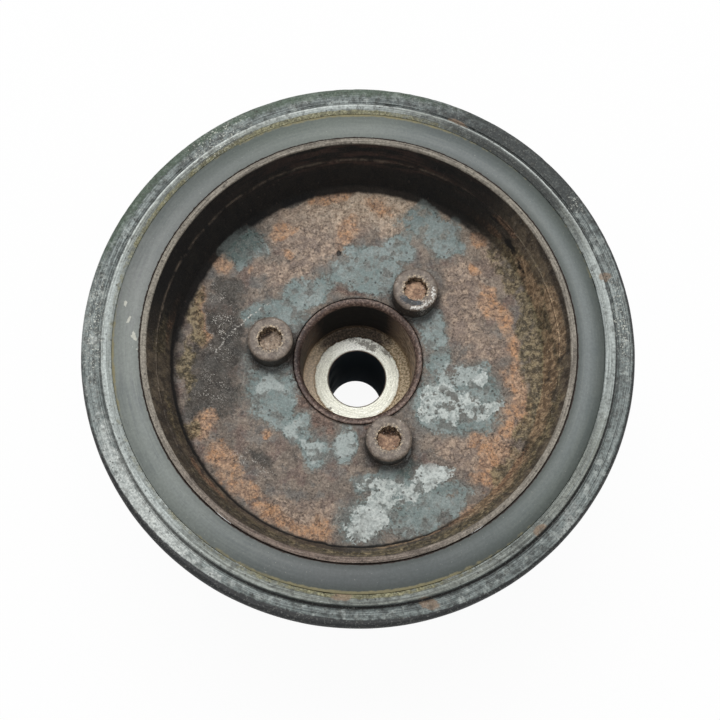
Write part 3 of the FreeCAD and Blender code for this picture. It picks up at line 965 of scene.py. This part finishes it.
def cast_paint():
    """Cast iron with brown rust, remains of blue-grey paint, pale patches, orange rust and dust, and painted
    shade, shadow and light.
    """
    s = Surface("cast_paint", (128, 117, 107), 0.72)
    squeeze = {0: s.place, 1: (1, 1, wall_squeeze), 2: (0, 0, floor_height * (1 - wall_squeeze))}
    s.place = s.node("VectorMath", squeeze, operation="MULTIPLY_ADD").outputs[0]
    big = s.grain(9.0, 8)
    mid = s.grain(3.0, 9)
    small = s.grain(1.4, 8)
    fine = s.grain(0.7, 5)
    dust = s.grain(0.35, 3)
    tongues = s.grain(2.2, 10, distortion=0.8)
    ragged = s.plus(s.times(s.grain(4.5, 12), 0.6), s.times(s.grain(1.5, 8), 0.3))
    ragged = s.plus(ragged, s.times(s.grain(0.6, 4), 0.2))

    def cover(name, low, high, ragging=2.6):
        """Where a named stain lies, with a ragged edge and holes."""
        edge = s.times(s.math("SUBTRACT", ragged, 0.55), ragging)
        return s.step(s.plus(s.read(name), edge), low, high)

    s.height = s.plus(s.times(small, 2.2), s.plus(fine, s.times(dust, 0.5)))
    s.layer(s.step(big, 0.44, 0.6), (150, 136, 123))
    s.layer(s.step(mid, 0.5, 0.62), (108, 101, 95))
    s.layer(s.step(small, 0.54, 0.66, 0.6), (156, 143, 131))
    s.layer(s.step(s.grain(6.0, 9), 0.5, 0.62, 0.5), (128, 105, 96))
    s.layer(s.step(tongues, 0.44, 0.34, 0.35), (86, 76, 70))
    s.layer(s.step(s.grain(5.0, 7), 0.5, 0.62, 0.5), (118, 119, 117))
    dusty = s.shades(small, 0.4, 0.62, (150, 131, 117), (188, 165, 145))
    dusty = s.tint(s.step(mid, 0.47, 0.58, 0.6), dusty, (130, 116, 108))
    s.layer(s.times(cover("tan", 0.25, 0.85), 0.85), dusty)
    # Painted light: paler tan on the floor near the north wall, against the wall's shadow.
    s.layer(s.read("lit", 0.6), s.shades(small, 0.42, 0.6, (206, 182, 156), (230, 210, 186)))
    s.layer(s.times(cover("red", 0.3, 0.8), 0.8), s.shades(small, 0.4, 0.6, (96, 76, 68), (134, 110, 97)))
    # Dark dirt, and painted shadow by the north-west wall.
    s.layer(s.times(cover("dark", 0.3, 0.9), 0.85), s.shades(mid, 0.42, 0.6, (52, 51, 49), (88, 85, 80)))
    orange = s.shades(small, 0.36, 0.62, (156, 128, 108), (196, 162, 134))
    orange = s.tint(s.step(s.plus(s.times(fine, 0.4), s.times(mid, 0.6)), 0.47, 0.6, 0.6), orange,
            (202, 149, 104))
    s.layer(s.times(cover("rust", 0.25, 0.9, 2.3), 0.92), orange, 0.85)

    # The recess wall
    wall = s.shades(mid, 0.4, 0.58, (68, 59, 49), (118, 105, 87))
    s.layer(s.read("wall"), wall, 0.7)
    olive = s.shades(small, 0.42, 0.62, (78, 69, 49), (150, 135, 104))
    s.layer(s.times(cover("olive", 0.3, 0.85, 3.2), 0.85), olive)
    pale_wall = s.times(s.read("wall"), cover("tan", 0.3, 0.9, 3.0))
    s.layer(s.times(pale_wall, 0.9), s.shades(small, 0.42, 0.6, (136, 112, 86), (194, 166, 134)))
    dark_wall = s.times(s.read("wall"), cover("dark", 0.3, 0.9, 3.0))
    s.layer(s.times(dark_wall, 0.65), (42, 36, 31))
    on_wall = s.times(s.read("wall"), cover("rust", 0.4, 0.8, 2.6))
    s.layer(s.times(on_wall, 0.7), s.shades(fine, 0.4, 0.6, (112, 82, 62), (162, 128, 100)), 0.85)
    smear = s.grain(1.0, 6, vector=s.turning(5, 0.7))
    blots = s.step(s.plus(s.times(smear, 0.15), s.times(ragged, 0.8)), 0.49, 0.42, 0.65)
    s.layer(s.times(s.read("wall"), blots), (48, 39, 33))
    # Dark dirt and painted shade: near black on the north wall and the floor by it, painted shade in the
    # corner at the wall's foot, reddish streaks high on the north wall.
    soot_and_shade_level = s.plus(s.read("soot"), s.swing(mid, 0.6))
    soot = s.step(soot_and_shade_level, 0.15, 0.8)
    s.layer(s.times(soot, 0.96),
            s.tint(s.times(s.step(smear, 0.43, 0.6), s.read("north")), (7, 8, 9), (60, 43, 38)), 0.95)
    s.layer(s.times(s.read("ledge"), s.step(s.grain(5.0, 6), 0.4, 0.56)), (104, 92, 80))
    # Painted highlight along the round at the east wall's foot.
    s.layer(s.times(s.read("crease"), s.step(small, 0.4, 0.6)), (142, 132, 100))

    # Rim and hidden faces
    streak = s.grain(1.0, 5, vector=s.turning(6, 2.6))
    s.layer(s.read("rim"), s.shades(streak, 0.38, 0.62, (108, 101, 92), (156, 149, 137)), 0.5)
    s.layer(s.times(s.read("rim"), s.read("worn"), 0.5), (164, 158, 144))
    s.layer(s.times(s.read("rim"), s.read("reddish"), 0.8),
            s.shades(streak, 0.4, 0.62, (84, 66, 58), (134, 114, 103)))
    s.layer(s.read("hidden"), s.shades(mid, 0.42, 0.6, (70, 64, 60), (112, 94, 80)), 0.75)
    crusty = s.math("MAXIMUM", s.read("rust"), s.read("tan"))
    s.layer(s.times(s.veins(5.0, 0.01), s.plus(s.times(crusty, 0.25), 0.2)), (58, 50, 45), height=0.4)
    s.gritty(0.9, 0.16, 4.0)
    s.gritty(0.4, 0.12)

    # Paint and whitened patches
    s.layer(s.times(cover("paint", 0.0, 0.7, 1.8), 0.6, s.step(s.read("paint"), 0.0, 0.3)),
            (118, 126, 123))
    teal = s.shades(big, 0.42, 0.6, (101, 117, 115), (126, 138, 136))
    teal = s.tint(s.step(mid, 0.46, 0.6, 0.35), teal, (140, 148, 145))
    # The paint darker where the dark patches lie; by the north-west wall this is painted shadow.
    teal = s.tint(s.step(s.read("dark"), 0.2, 0.9, 0.9), teal, (50, 70, 65))
    teal = s.tint(s.step(tongues, 0.48, 0.62, 0.55), teal, (104, 106, 101))
    teal = s.tint(s.times(cover("frost", 0.35, 0.7), 0.8), teal, (158, 167, 164))
    level = s.plus(s.times(small, 0.7), 1.7)
    bare = s.math("MAXIMUM", s.step(mid, 0.52, 0.6, 0.85), soot)
    islands = s.step(s.grain(3.0, 12), 0.525, 0.56)
    islands = s.times(islands, s.rest(s.read("frost", 0.8)))
    bare = s.math("MAXIMUM", bare, s.times(islands, s.read("pale", 0.9)))
    speckle = s.swing(fine)
    painted = s.step(s.plus(cover("paint", 0.0, 1.0, 2.3), s.times(speckle, 1.3)), 0.3, 0.7)
    painted = s.times(painted, s.step(s.read("paint"), 0.0, 0.3))
    s.layer(s.times(painted, s.rest(bare)), teal, 0.5, height=level)
    whitish = s.shades(small, 0.38, 0.6, (143, 152, 149), (179, 186, 182))
    whitened = s.step(s.plus(cover("pale", 0.2, 0.8, 2.6), s.times(speckle, 1.0)), 0.4, 0.65)
    whitened = s.times(whitened, s.step(s.read("pale"), 0.05, 0.3))
    whitish = s.tint(s.read("frost", 0.45), whitish, (200, 206, 203))
    s.layer(s.times(whitened, s.rest(islands)), whitish, 0.5, height=level)

    # Pits, dirt, painted shadow round the bolts and the mouth, scratch and flecks
    pits = s.step(s.plus(s.cells(2.3), s.times(mid, 0.3)), 0.3, 0.22)
    s.layer(s.times(pits, 0.65), (56, 49, 45), height=0.6)
    s.layer(s.stain("hole", fine, 1.0, 0.3, 0.6), (36, 31, 28), height=0.0)
    # Painted shadow round the bolt heads, and painted shade with dirt round the mouth.
    s.layer(s.read("grime", 0.85), (40, 36, 34))
    line = s.times(s.circle_line(circle_through(*scratch), 0.34), s.step(s.grain(0.6, 3), 0.5, 0.56))
    s.layer(s.times(line, s.step(s.read("scratched"), 0.45, 0.6)), (206, 202, 194))
    clusters = s.times(s.read("fleck"), s.step(s.grain(2.4, 6), 0.48, 0.56))
    flecks = s.times(s.step(dust, 0.55, 0.62), s.plus(s.times(clusters, 0.9), 0.12))
    flecks = s.times(flecks, s.rest(soot))
    s.layer(flecks, (204, 200, 192))
    s.layer(s.step(fine, 0.42, 0.32, 0.35), (66, 59, 55))
    s.gritty(0.7, 0.16, 4.0)
    return s.finish(0.24)


def bonded_rubber():
    """Smooth grey rubber with a soft sheen, fine turning streaks, dust, painted shade and a painted
    highlight.
    """
    s = Surface("bonded_rubber", (92, 99, 99), 0.45)
    streak = s.grain(1.0, 5, vector=s.turning(4, 2.0))
    cloud = s.grain(16.0, 4)
    speck = s.grain(0.5, 3)
    s.layer(s.step(cloud, 0.4, 0.65), (99, 105, 103))
    s.layer(s.step(streak, 0.42, 0.66, 0.4), (118, 123, 119), 0.5)
    s.layer(s.times(s.read("mauve"), s.plus(s.step(cloud, 0.35, 0.6, 0.4), 0.25)), (124, 118, 124))
    s.layer(s.read("green", 0.5), (88, 99, 84))
    # Painted shade in stretches round the ring.
    s.layer(s.read("damp", 0.75), (66, 72, 72), 0.4)
    s.layer(s.times(s.read("dust"), s.step(s.plus(cloud, streak), 0.6, 1.1)), (128, 134, 128), 0.55)
    # Painted highlight along the middle and painted shade at both edges.
    s.layer(s.read("middle", 0.5), (122, 128, 128))
    s.layer(s.read("sides", 0.7), (54, 61, 56), 0.6)
    s.layer(s.step(speck, 0.66, 0.74, 0.4), (176, 176, 166), 0.7)
    s.layer(s.step(speck, 0.36, 0.28, 0.35), (76, 77, 74))
    grime = s.stain("dirt", s.grain(2.0, 4), 1.0, 0.45, 0.85)
    s.layer(grime, (126, 120, 92), 0.8)
    s.layer(s.stain("scuff", s.grain(0.8, 4), 1.0, 0.5, 0.66), (182, 182, 172), 0.8)
    s.layer(s.stain("seam", s.grain(1.2, 5), 1.0, 0.4, 0.7), (52, 42, 37), 0.8)
    s.gritty(0.7, 0.08)
    s.height = s.plus(s.times(streak, 0.6), s.times(speck, 0.5))
    return s.finish(0.05)


def ring_iron():
    """Turned iron, bright in stretches of painted reflection, blotched with dirt and painted shade, black in
    the track.
    """
    s = Surface("ring_iron", (82, 90, 89), 0.55, 0.15)
    streak = s.grain(1.0, 6, vector=s.turning(4, 2.4))
    lines = s.grain(1.0, 3, vector=s.turning(1.5, 5.5))
    blotch = s.grain(6.0, 6)
    mid = s.grain(1.8, 7)
    speck = s.grain(0.5, 4)
    s.layer(s.step(streak, 0.42, 0.6), (118, 126, 124))
    s.layer(s.step(mid, 0.48, 0.6, 0.85), (66, 72, 70))
    s.layer(s.step(s.grain(3.0, 8, distortion=0.5), 0.54, 0.62, 0.75), (150, 156, 152))
    s.layer(s.step(s.grain(2.2, 9), 0.54, 0.6, 0.6), (58, 62, 61), height=0.4)
    mottle = s.plus(s.times(mid, 0.8), s.times(blotch, 0.6))
    # Painted reflection: paler stretches on the flange, mottled like worn metal.
    worn = s.plus(s.read("bright"), s.math("SUBTRACT", mottle, 0.7))
    s.layer(s.step(worn, 0.35, 0.65), s.shades(speck, 0.35, 0.6, (140, 145, 142), (186, 190, 186)), 0.5)
    lip = s.shades(streak, 0.4, 0.6, (90, 94, 89), (128, 132, 124))
    # The lip's bright metal, lighter in stretches of painted reflection.
    polish = s.stain("polish", mid, 0.8, 0.2, 0.8)
    lip = s.tint(polish, lip, s.shades(streak, 0.38, 0.6, (132, 138, 135), (166, 173, 170)))
    s.layer(s.read("lip"), lip, 0.5, 0.2)
    s.layer(s.step(lines, 0.48, 0.6, 0.35), (176, 184, 182))
    s.layer(s.step(lines, 0.42, 0.34, 0.4), (54, 57, 56))
    s.layer(s.stain("shade", mid, 1.0, 0.25, 0.8, 0.86), (45, 48, 48), 0.7)
    s.layer(s.stain("moss", mid, 1.0, 0.3, 0.9, 0.7), (70, 86, 68), 0.7)
    s.layer(s.stain("silt", mid, 1.4, 0.3, 0.8, 0.85),
            s.shades(speck, 0.4, 0.6, (104, 100, 72), (150, 146, 112)), 0.8, 0.0)
    # Painted highlight on the lip's outer edge.
    s.layer(s.read("line", 0.9), (206, 212, 208), 0.4, 0.3)
    s.layer(s.stain("rust", mid, 1.0, 0.35, 0.7, 0.75), (134, 114, 95), 0.8, 0.0)
    s.layer(s.read("groove"), (26, 25, 24), 0.8, 0.0)
    s.layer(s.stain("track", mid, 0.8, 0.35, 0.75), (30, 32, 33), 0.5, 0.1)
    s.layer(s.read("ribs", 0.6), s.shades(streak, 0.4, 0.62, (38, 39, 38), (82, 80, 74)), 0.6, 0.1)
    worn_tips = s.times(s.read("ribs"), s.read("rib_tip"), s.step(mid, 0.38, 0.6))
    s.layer(s.times(worn_tips, 0.7), (104, 102, 96), 0.45, 0.3)
    pocks = s.step(s.plus(s.grain(2.0, 8), s.read("fleck", 0.08)), 0.57, 0.61)
    s.layer(s.times(pocks, 0.4), (60, 60, 57), 0.8, 0.0, height=0.2)
    s.layer(s.step(s.cells(1.7), 0.2, 0.08, 0.7), (48, 46, 43), 0.8, 0.0, height=0.0)
    flecks = s.times(s.step(speck, 0.56, 0.64), s.plus(s.read("fleck", 0.7), 0.12))
    s.layer(flecks, (206, 208, 198))
    s.gritty(0.6, 0.2)
    s.height = s.plus(s.times(streak, 1.2), mid)
    return s.finish(0.14)


def nose_steel():
    """Rust-brown steel with a bright turned seat, and painted light and shade round its pocket."""
    s = Surface("nose_steel", (96, 82, 72), 0.6, 0.1)
    mid = s.grain(1.8, 7)
    fine = s.grain(0.6, 5)
    s.layer(s.step(mid, 0.42, 0.62), (118, 100, 84))
    s.layer(s.step(s.grain(9.0, 9), 0.46, 0.6, 0.7),
            s.shades(mid, 0.42, 0.6, (104, 76, 58), (142, 104, 76)), 0.75)
    s.layer(s.step(s.grain(7.0, 9, vector=s.turning(3, 0.15)), 0.5, 0.62, 0.6), (84, 82, 78), 0.45, 0.4)
    wall = s.shades(mid, 0.4, 0.6, (84, 66, 55), (146, 121, 98))
    s.layer(s.read("wall"), wall, 0.55)
    annulus = s.shades(fine, 0.4, 0.6, (150, 130, 98), (222, 204, 174))
    s.layer(s.read("annulus"), annulus, 0.6)
    # Painted light on the annulus's west side.
    s.layer(s.times(s.read("annulus"), s.read("west", 0.7)), (226, 208, 186))
    # Painted shade and light round the pocket: near black on the north wall and the annulus by it, darker on
    # the west wall, lighter on the east wall.
    black = s.stain("black", mid, 1.2, 0.2, 0.9)
    s.layer(s.times(s.read("wall"), s.read("west", 0.85)),
            s.shades(mid, 0.44, 0.6, (38, 24, 18), (80, 58, 46)))
    s.layer(s.times(s.read("wall"), s.read("east", 0.85)),
            s.shades(mid, 0.42, 0.6, (150, 124, 100), (224, 198, 168)))
    s.layer(s.times(s.read("annulus"), s.times(black, 0.92)),
            s.shades(fine, 0.45, 0.62, (34, 26, 22), (92, 74, 58)))
    s.layer(s.times(s.read("wall"), s.times(black, 0.98)), (3, 3, 3), 1.0)
    reddish = s.shades(fine, 0.4, 0.62, (66, 51, 45), (118, 97, 86))
    s.layer(s.read("lip"), reddish, 0.5)
    # Painted shade on the lip's west side.
    s.layer(s.times(s.read("lip"), s.read("west", 0.85)),
            s.shades(mid, 0.44, 0.6, (40, 29, 27), (66, 50, 46)))
    s.layer(s.times(s.read("lip"), s.step(fine, 0.56, 0.64, 0.6)), (146, 132, 122))
    s.layer(s.read("seam"), (40, 33, 30), 0.8)
    rings = s.grain(1.0, 3, vector=s.turning(3, 5.0))
    bright = s.shades(rings, 0.38, 0.6, (192, 192, 177), (225, 225, 213))
    bright = s.tint(s.step(s.grain(1.0, 2, vector=s.turning(1, 9)), 0.5, 0.62, 0.25), bright,
            (166, 160, 136))
    # Painted light on the seat's north side and painted shade on its west side.
    bright = s.tint(s.read("north", 0.8), bright, (250, 250, 242))
    bright = s.tint(s.read("west", 0.4), bright, (160, 158, 142))
    s.layer(s.stain("seat", fine, 0.5, 0.4, 0.6), bright, 0.36, 0.3)
    nicked = s.stain("nick", fine, 3.4, 0.62, 0.78)
    s.layer(s.times(nicked, 0.6), (84, 72, 57), 0.7, 0.0, height=0.0)
    s.layer(s.step(fine, 0.4, 0.3, 0.4), (46, 38, 32), height=0.0)
    s.gritty(0.5, 0.16)
    s.height = s.plus(s.times(rings, 0.35), s.times(fine, 0.8))
    return s.finish(0.1)


def bore_steel():
    """The bore's wall, so dark and dull that it mirrors nothing of the floor but for a painted reflection on
    its west side.
    """
    s = Surface("bore_steel", (58, 68, 76), 0.9)
    # Painted reflection: a paler, glossier streak on the west side.
    gleam = s.times(s.read("gleam"), s.step(s.grain(5.0, 4), 0.35, 0.6))
    s.layer(gleam, (96, 106, 114), 0.5)
    s.feed(s.shader.inputs["Specular IOR Level"], s.blend(gleam, 0.05, 0.4))
    return s.finish(0.02)


def bolt_steel():
    """Brown-grey bolts with rusty sockets, one of them chipped and scratched bright, with painted shade on
    their sides and painted shadow in their sockets.
    """
    s = Surface("bolt_steel", (112, 101, 92), 0.55, 0.1)
    mid = s.grain(1.8, 7)
    fine = s.grain(0.5, 4)
    s.layer(s.step(mid, 0.42, 0.62), (134, 123, 112))
    # Painted shade: the head's side near black.
    s.layer(s.read("side", 0.9), s.shades(mid, 0.42, 0.6, (18, 16, 16), (44, 39, 36)))
    s.layer(s.read("socket"), s.shades(fine, 0.4, 0.6, (44, 30, 24), (96, 68, 50)), 0.85)
    s.layer(s.read("foot"), s.shades(mid, 0.42, 0.6, (142, 114, 95), (190, 158, 132)), 0.85)
    s.layer(s.times(s.read("foot"), s.read("beige"), 0.8),
            s.shades(mid, 0.42, 0.6, (136, 122, 108), (176, 162, 146)))
    # Painted shadow: a dark crescent on the socket's dirt.
    s.layer(s.read("gone", 0.9), s.shades(fine, 0.46, 0.62, (26, 18, 15), (92, 62, 44)))
    s.layer(s.times(s.read("rim"), s.step(fine, 0.5, 0.58)), (206, 186, 156), 0.7)
    s.layer(s.stain("chip", fine, 2.6, 0.4, 0.55), s.shades(mid, 0.45, 0.6, (20, 24, 28), (50, 56, 62)),
            0.4)
    s.layer(s.stain("bare", fine, 5.0, 0.75, 0.95), (196, 194, 188), 0.45, 0.2)
    s.layer(s.step(fine, 0.46, 0.34, 0.5), (58, 50, 44))
    s.gritty(0.6, 0.2)
    s.gritty(1.3, 0.16, 5.0)
    s.height = s.plus(mid, fine)
    return s.finish(0.14)


# Stage, light and camera

def backdrop():
    """A white floor that keeps the shadow, and that the camera and glossy metal see as near white."""
    mesh = bpy.data.meshes.new("floor")
    reach = 3.0
    corners = [(-reach, -reach, 0), (reach, -reach, 0), (reach, reach, 0), (-reach, reach, 0)]
    mesh.from_pydata(corners, [], [(0, 1, 2, 3)])
    floor = bpy.data.objects.new("floor", mesh)
    bpy.context.collection.objects.link(floor)
    s = Surface("floor_white", (0.9, 0.9, 0.9, 1), 0.9)
    s.feed(s.shader.inputs["Base Color"], s.colour)
    s.feed(s.shader.inputs["Roughness"], s.roughness)
    path = s.node("LightPath")
    seen = s.math("MAXIMUM", path.outputs["Is Camera Ray"], path.outputs["Is Glossy Ray"])
    glow = s.node("Emission", {"Color": (1, 1, 1, 1), "Strength": 1.0})
    mixed = s.node("MixShader", {0: s.times(seen, 0.94), 1: s.shader.outputs[0], 2: glow.outputs[0]})
    s.feed(s.tree.nodes["Material Output"].inputs["Surface"], mixed.outputs[0])
    mesh.materials.append(s.material)


def lamp(name, place, size, power):
    """A square soft lamp that points at the middle of the pulley."""
    light = bpy.data.lights.new(name, "AREA")
    light.size = size
    light.energy = power
    holder = bpy.data.objects.new(name, light)
    aim = Vector((0, 0, floor_height * MM)) - Vector(place)
    holder.rotation_euler = aim.to_track_quat("-Z", "Y").to_euler()
    holder.location = place
    bpy.context.collection.objects.link(holder)


def light_world(strength):
    """Plain white light from all round."""
    world = bpy.data.worlds.new("studio")
    world.use_nodes = True
    background = world.node_tree.nodes["Background"]
    background.inputs["Color"].default_value = (1, 1, 1, 1)
    background.inputs["Strength"].default_value = strength
    bpy.context.scene.world = world


def camera():
    """The photograph's view, from the south and high up."""
    place = Vector((-3.785, -73.49, 393.23)) * MM
    forward = Vector((0.01325, 0.22286, -0.97476)).normalized()
    right = forward.cross(Vector((0, 1, 0))).normalized()
    up = right.cross(forward)
    lens = bpy.data.cameras.new("camera")
    lens.sensor_width = 36
    lens.lens = 57.5
    lens.clip_start = 0.01
    holder = bpy.data.objects.new("camera", lens)
    turn = Matrix((right, up, -forward)).transposed()
    holder.matrix_world = Matrix.Translation(place) @ turn.to_4x4()
    bpy.context.collection.objects.link(holder)
    bpy.context.scene.camera = holder


# The pieces, each with its node and material

def place_piece(piece, node, material, inner_material=None, inner_radius=0.0):
    """Puts a finished piece in the place of its node. Faces inside the inner radius may differ."""
    piece.data.materials.clear()
    piece.data.materials.append(material)
    if inner_material is not None:
        piece.data.materials.append(inner_material)
        for face in piece.data.polygons:
            face.material_index = int(face.center.xy.length < inner_radius * MM)
    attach(piece, "root")
    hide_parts(node)


place_piece(hub_cup(), "hub_cup", cast_paint())
place_piece(rubber_ring(), "rubber_ring", bonded_rubber())
place_piece(belt_ring(), "belt_ring", ring_iron())
place_piece(nose_hub(), "nose_hub", nose_steel(), bore_steel(), bore_radius + 0.1)
bolt_material = bolt_steel()
for bolt_name, bolt_centre in zip(bolt_names, bolt_centres):
    place_piece(bolt(bolt_name, bolt_centre), bolt_name, bolt_material)

backdrop()
lamp("key", (-0.06, 0.36, 1.0), 0.6, 6.0)
lamp("fill", (0.05, -0.35, 1.0), 0.6, 1.0)
light_world(0.5)
camera()
bpy.context.scene.view_settings.view_transform = "Standard"
